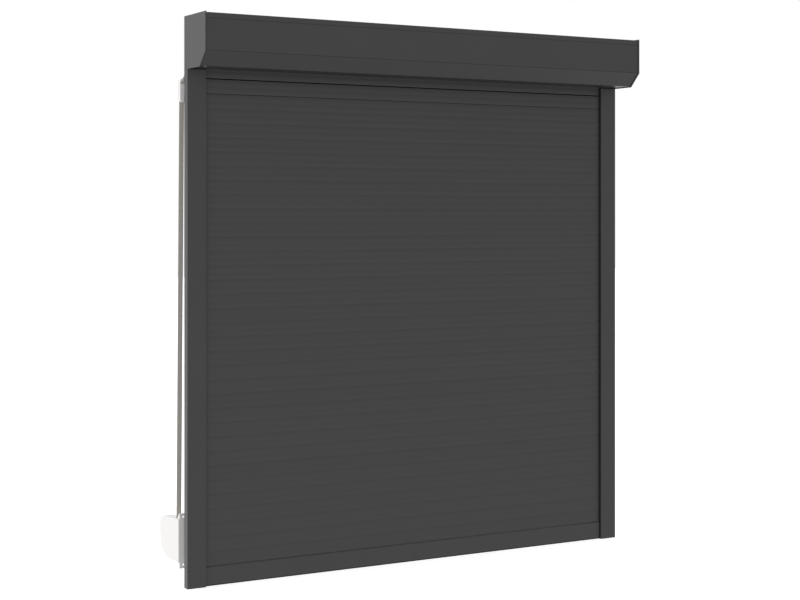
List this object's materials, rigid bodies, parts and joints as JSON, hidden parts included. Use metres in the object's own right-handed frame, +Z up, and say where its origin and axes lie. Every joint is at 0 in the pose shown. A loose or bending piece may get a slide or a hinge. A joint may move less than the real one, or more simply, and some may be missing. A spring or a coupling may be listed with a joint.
{
  "type": "exterior roller shutter",
  "caption": "Exterior roller shutter: a chamfered box on two guide rails, an interlocking slat curtain on an octagonal shaft, and a strap to a winder in the room",
  "frame": {"origin": "middle of the four rail fixing holes, on the back plane that lies against the window frame", "axes": "+X to the right seen from outside, +Y into the room, +Z up"},
  "size_m": [1.4, 0.32, 1.505],
  "materials": {
    "coated_aluminium": "satin anthracite powder coat",
    "black_rubber": "matt",
    "black_plastic": "matt",
    "white_plastic": "satin white",
    "pale_plastic": "matt",
    "zinc_steel": "galvanised",
    "spring_steel": "bare spring steel",
    "webbing": "woven webbing"
  },
  "bodies": {
    "frame": {"box_front_panel": "coated_aluminium", "box_rear_panel": "coated_aluminium", "inspection_cover": "coated_aluminium", "end_cap_left": "coated_aluminium", "end_cap_right": "coated_aluminium", "cover_screws": "zinc_steel", "guide_rail_left": "coated_aluminium", "guide_rail_right": "coated_aluminium", "rail_plugs": "coated_aluminium", "rail_seals": "black_rubber", "shaft_bearings": "zinc_steel", "strap": "webbing", "strap_guide": "white_plastic", "winder_plate": "white_plastic", "winder_case": "white_plastic", "winder_spring": "spring_steel"},
    "end_bar": {"end_bar": "coated_aluminium", "end_bar_seal": "black_rubber", "end_bar_stops": "black_plastic"},
    "slat_01": {"slat_01": "coated_aluminium"},
    "slat_02": {"slat_02": "coated_aluminium"},
    "slat_03": {"slat_03": "coated_aluminium"},
    "slat_04": {"slat_04": "coated_aluminium"},
    "slat_05": {"slat_05": "coated_aluminium"},
    "slat_06": {"slat_06": "coated_aluminium"},
    "slat_07": {"slat_07": "coated_aluminium"},
    "slat_08": {"slat_08": "coated_aluminium"},
    "slat_09": {"slat_09": "coated_aluminium"},
    "slat_10": {"slat_10": "coated_aluminium"},
    "slat_11": {"slat_11": "coated_aluminium"},
    "slat_12": {"slat_12": "coated_aluminium"},
    "slat_13": {"slat_13": "coated_aluminium"},
    "slat_14": {"slat_14": "coated_aluminium"},
    "slat_15": {"slat_15": "coated_aluminium"},
    "slat_16": {"slat_16": "coated_aluminium"},
    "slat_17": {"slat_17": "coated_aluminium"},
    "slat_18": {"slat_18": "coated_aluminium"},
    "slat_19": {"slat_19": "coated_aluminium"},
    "slat_20": {"slat_20": "coated_aluminium"},
    "slat_21": {"slat_21": "coated_aluminium"},
    "slat_22": {"slat_22": "coated_aluminium"},
    "slat_23": {"slat_23": "coated_aluminium"},
    "slat_24": {"slat_24": "coated_aluminium"},
    "slat_25": {"slat_25": "coated_aluminium"},
    "slat_26": {"slat_26": "coated_aluminium"},
    "slat_27": {"slat_27": "coated_aluminium"},
    "slat_28": {"slat_28": "coated_aluminium"},
    "slat_29": {"slat_29": "coated_aluminium"},
    "slat_30": {"slat_30": "coated_aluminium"},
    "slat_31": {"slat_31": "coated_aluminium"},
    "slat_32": {"slat_32": "coated_aluminium"},
    "slat_33": {"slat_33": "coated_aluminium"},
    "slat_34": {"slat_34": "coated_aluminium"},
    "slat_35": {"slat_35": "coated_aluminium", "slat_hangers": "spring_steel"},
    "shaft": {"shaft_tube": "zinc_steel", "strap_pulley": "pale_plastic", "shaft_end_plug": "pale_plastic"},
    "guide_roller": {"guide_roller": "pale_plastic"},
    "winder_reel": {"winder_reel": "pale_plastic"}
  },
  "joints": [
    {"name": "curtain_lift", "type": "slide", "parent": "frame", "child": "end_bar", "axis": [0, 0, 1], "range_m": [0, 1.31485]},
    {"name": "slat_01_lift", "type": "slide", "parent": "frame", "child": "slat_01", "axis": [0, 0, 1], "range_m": [0, 1.32051], "deforming": ["slat_01"]},
    {"name": "slat_02_lift", "type": "slide", "parent": "frame", "child": "slat_02", "axis": [0, 0, 1], "range_m": [0, 1.283], "deforming": ["slat_02"]},
    {"name": "slat_03_lift", "type": "slide", "parent": "frame", "child": "slat_03", "axis": [0, 0, 1], "range_m": [0, 1.24548], "deforming": ["slat_03"]},
    {"name": "slat_04_lift", "type": "slide", "parent": "frame", "child": "slat_04", "axis": [0, 0, 1], "range_m": [0, 1.20798], "deforming": ["slat_04"]},
    {"name": "slat_05_lift", "type": "slide", "parent": "frame", "child": "slat_05", "axis": [0, 0, 1], "range_m": [0, 1.17047], "deforming": ["slat_05"]},
    {"name": "slat_06_lift", "type": "slide", "parent": "frame", "child": "slat_06", "axis": [0, 0, 1], "range_m": [0, 1.13295], "deforming": ["slat_06"]},
    {"name": "slat_07_lift", "type": "slide", "parent": "frame", "child": "slat_07", "axis": [0, 0, 1], "range_m": [0, 1.09545], "deforming": ["slat_07"]},
    {"name": "slat_08_lift", "type": "slide", "parent": "frame", "child": "slat_08", "axis": [0, 0, 1], "range_m": [0, 1.05794], "deforming": ["slat_08"]},
    {"name": "slat_09_lift", "type": "slide", "parent": "frame", "child": "slat_09", "axis": [0, 0, 1], "range_m": [0, 1.02042], "deforming": ["slat_09"]},
    {"name": "slat_10_lift", "type": "slide", "parent": "frame", "child": "slat_10", "axis": [0, 0, 1], "range_m": [0, 0.98291], "deforming": ["slat_10"]},
    {"name": "slat_11_lift", "type": "slide", "parent": "frame", "child": "slat_11", "axis": [0, 0, 1], "range_m": [0, 0.94541], "deforming": ["slat_11"]},
    {"name": "slat_12_lift", "type": "slide", "parent": "frame", "child": "slat_12", "axis": [0, 0, 1], "range_m": [0, 0.9079], "deforming": ["slat_12"]},
    {"name": "slat_13_lift", "type": "slide", "parent": "frame", "child": "slat_13", "axis": [0, 0, 1], "range_m": [0, 0.87038], "deforming": ["slat_13"]},
    {"name": "slat_14_lift", "type": "slide", "parent": "frame", "child": "slat_14", "axis": [0, 0, 1], "range_m": [0, 0.83288], "deforming": ["slat_14"]},
    {"name": "slat_15_lift", "type": "slide", "parent": "frame", "child": "slat_15", "axis": [0, 0, 1], "range_m": [0, 0.79536], "deforming": ["slat_15"]},
    {"name": "slat_16_lift", "type": "slide", "parent": "frame", "child": "slat_16", "axis": [0, 0, 1], "range_m": [0, 0.75785], "deforming": ["slat_16"]},
    {"name": "slat_17_lift", "type": "slide", "parent": "frame", "child": "slat_17", "axis": [0, 0, 1], "range_m": [0, 0.72035], "deforming": ["slat_17"]},
    {"name": "slat_18_lift", "type": "slide", "parent": "frame", "child": "slat_18", "axis": [0, 0, 1], "range_m": [0, 0.68283], "deforming": ["slat_18"]},
    {"name": "slat_19_lift", "type": "slide", "parent": "frame", "child": "slat_19", "axis": [0, 0, 1], "range_m": [0, 0.64533], "deforming": ["slat_19"]},
    {"name": "slat_20_lift", "type": "slide", "parent": "frame", "child": "slat_20", "axis": [0, 0, 1], "range_m": [0, 0.60781], "deforming": ["slat_20"]},
    {"name": "slat_21_lift", "type": "slide", "parent": "frame", "child": "slat_21", "axis": [0, 0, 1], "range_m": [0, 0.5703], "deforming": ["slat_21"]},
    {"name": "slat_22_lift", "type": "slide", "parent": "frame", "child": "slat_22", "axis": [0, 0, 1], "range_m": [0, 0.5328], "deforming": ["slat_22"]},
    {"name": "slat_23_lift", "type": "slide", "parent": "frame", "child": "slat_23", "axis": [0, 0, 1], "range_m": [0, 0.49528], "deforming": ["slat_23"]},
    {"name": "slat_24_lift", "type": "slide", "parent": "frame", "child": "slat_24", "axis": [0, 0, 1], "range_m": [0, 0.45777], "deforming": ["slat_24"]},
    {"name": "slat_25_lift", "type": "slide", "parent": "frame", "child": "slat_25", "axis": [0, 0, 1], "range_m": [0, 0.42026], "deforming": ["slat_25"]},
    {"name": "slat_26_lift", "type": "slide", "parent": "frame", "child": "slat_26", "axis": [0, 0, 1], "range_m": [0, 0.38276], "deforming": ["slat_26"]},
    {"name": "slat_27_lift", "type": "slide", "parent": "frame", "child": "slat_27", "axis": [0, 0, 1], "range_m": [0, 0.34525], "deforming": ["slat_27"]},
    {"name": "slat_28_lift", "type": "slide", "parent": "frame", "child": "slat_28", "axis": [0, 0, 1], "range_m": [0, 0.30773], "deforming": ["slat_28"]},
    {"name": "slat_29_lift", "type": "slide", "parent": "frame", "child": "slat_29", "axis": [0, 0, 1], "range_m": [0, 0.27022], "deforming": ["slat_29"]},
    {"name": "slat_30_lift", "type": "slide", "parent": "frame", "child": "slat_30", "axis": [0, 0, 1], "range_m": [0, 0.23272], "deforming": ["slat_30"]},
    {"name": "slat_31_lift", "type": "slide", "parent": "frame", "child": "slat_31", "axis": [0, 0, 1], "range_m": [0, 0.1952], "deforming": ["slat_31"]},
    {"name": "slat_32_lift", "type": "slide", "parent": "frame", "child": "slat_32", "axis": [0, 0, 1], "range_m": [0, 0.1577], "deforming": ["slat_32"]},
    {"name": "slat_33_lift", "type": "slide", "parent": "frame", "child": "slat_33", "axis": [0, 0, 1], "range_m": [0, 0.12019], "deforming": ["slat_33"]},
    {"name": "slat_34_lift", "type": "slide", "parent": "frame", "child": "slat_34", "axis": [0, 0, 1], "range_m": [0, 0.08167], "deforming": ["slat_34"]},
    {"name": "slat_35_lift", "type": "slide", "parent": "frame", "child": "slat_35", "axis": [0, 0, 1], "range_m": [0, 0.04156], "deforming": ["slat_35", "slat_hangers"]},
    {"name": "shaft_spin", "type": "hinge", "parent": "frame", "child": "shaft", "pos_m": [0, -0.07, 0.7525], "axis": [1, 0, 0], "range_deg": [0, 1620.05]},
    {"name": "guide_roller_spin", "type": "hinge", "parent": "frame", "child": "guide_roller", "pos_m": [-0.683, 0.0535, 0.6415], "axis": [1, 0, 0], "range_deg": [-11449.4, 0]},
    {"name": "winder_reel_spin", "type": "hinge", "parent": "frame", "child": "winder_reel", "pos_m": [-0.683, 0.1205, -0.568], "axis": [1, 0, 0], "range_deg": [0, 1298.86]}
  ],
  "couplings": [
    {"joint": "slat_01_lift", "follows": "curtain_lift", "ratio": 1.0043},
    {"joint": "slat_02_lift", "follows": "curtain_lift", "ratio": 0.97577},
    {"joint": "slat_03_lift", "follows": "curtain_lift", "ratio": 0.94724},
    {"joint": "slat_04_lift", "follows": "curtain_lift", "ratio": 0.91871},
    {"joint": "slat_05_lift", "follows": "curtain_lift", "ratio": 0.89019},
    {"joint": "slat_06_lift", "follows": "curtain_lift", "ratio": 0.86166},
    {"joint": "slat_07_lift", "follows": "curtain_lift", "ratio": 0.83313},
    {"joint": "slat_08_lift", "follows": "curtain_lift", "ratio": 0.8046},
    {"joint": "slat_09_lift", "follows": "curtain_lift", "ratio": 0.77607},
    {"joint": "slat_10_lift", "follows": "curtain_lift", "ratio": 0.74755},
    {"joint": "slat_11_lift", "follows": "curtain_lift", "ratio": 0.71902},
    {"joint": "slat_12_lift", "follows": "curtain_lift", "ratio": 0.69049},
    {"joint": "slat_13_lift", "follows": "curtain_lift", "ratio": 0.66196},
    {"joint": "slat_14_lift", "follows": "curtain_lift", "ratio": 0.63343},
    {"joint": "slat_15_lift", "follows": "curtain_lift", "ratio": 0.60491},
    {"joint": "slat_16_lift", "follows": "curtain_lift", "ratio": 0.57638},
    {"joint": "slat_17_lift", "follows": "curtain_lift", "ratio": 0.54785},
    {"joint": "slat_18_lift", "follows": "curtain_lift", "ratio": 0.51932},
    {"joint": "slat_19_lift", "follows": "curtain_lift", "ratio": 0.49079},
    {"joint": "slat_20_lift", "follows": "curtain_lift", "ratio": 0.46227},
    {"joint": "slat_21_lift", "follows": "curtain_lift", "ratio": 0.43374},
    {"joint": "slat_22_lift", "follows": "curtain_lift", "ratio": 0.40521},
    {"joint": "slat_23_lift", "follows": "curtain_lift", "ratio": 0.37668},
    {"joint": "slat_24_lift", "follows": "curtain_lift", "ratio": 0.34815},
    {"joint": "slat_25_lift", "follows": "curtain_lift", "ratio": 0.31963},
    {"joint": "slat_26_lift", "follows": "curtain_lift", "ratio": 0.2911},
    {"joint": "slat_27_lift", "follows": "curtain_lift", "ratio": 0.26257},
    {"joint": "slat_28_lift", "follows": "curtain_lift", "ratio": 0.23404},
    {"joint": "slat_29_lift", "follows": "curtain_lift", "ratio": 0.20551},
    {"joint": "slat_30_lift", "follows": "curtain_lift", "ratio": 0.17699},
    {"joint": "slat_31_lift", "follows": "curtain_lift", "ratio": 0.14846},
    {"joint": "slat_32_lift", "follows": "curtain_lift", "ratio": 0.11993},
    {"joint": "slat_33_lift", "follows": "curtain_lift", "ratio": 0.091402},
    {"joint": "slat_34_lift", "follows": "curtain_lift", "ratio": 0.062114},
    {"joint": "slat_35_lift", "follows": "curtain_lift", "ratio": 0.031608},
    {"joint": "shaft_spin", "follows": "curtain_lift", "rad_per_m": 21.504},
    {"joint": "guide_roller_spin", "follows": "curtain_lift", "rad_per_m": -151.98},
    {"joint": "winder_reel_spin", "follows": "curtain_lift", "rad_per_m": 17.24}
  ]
}
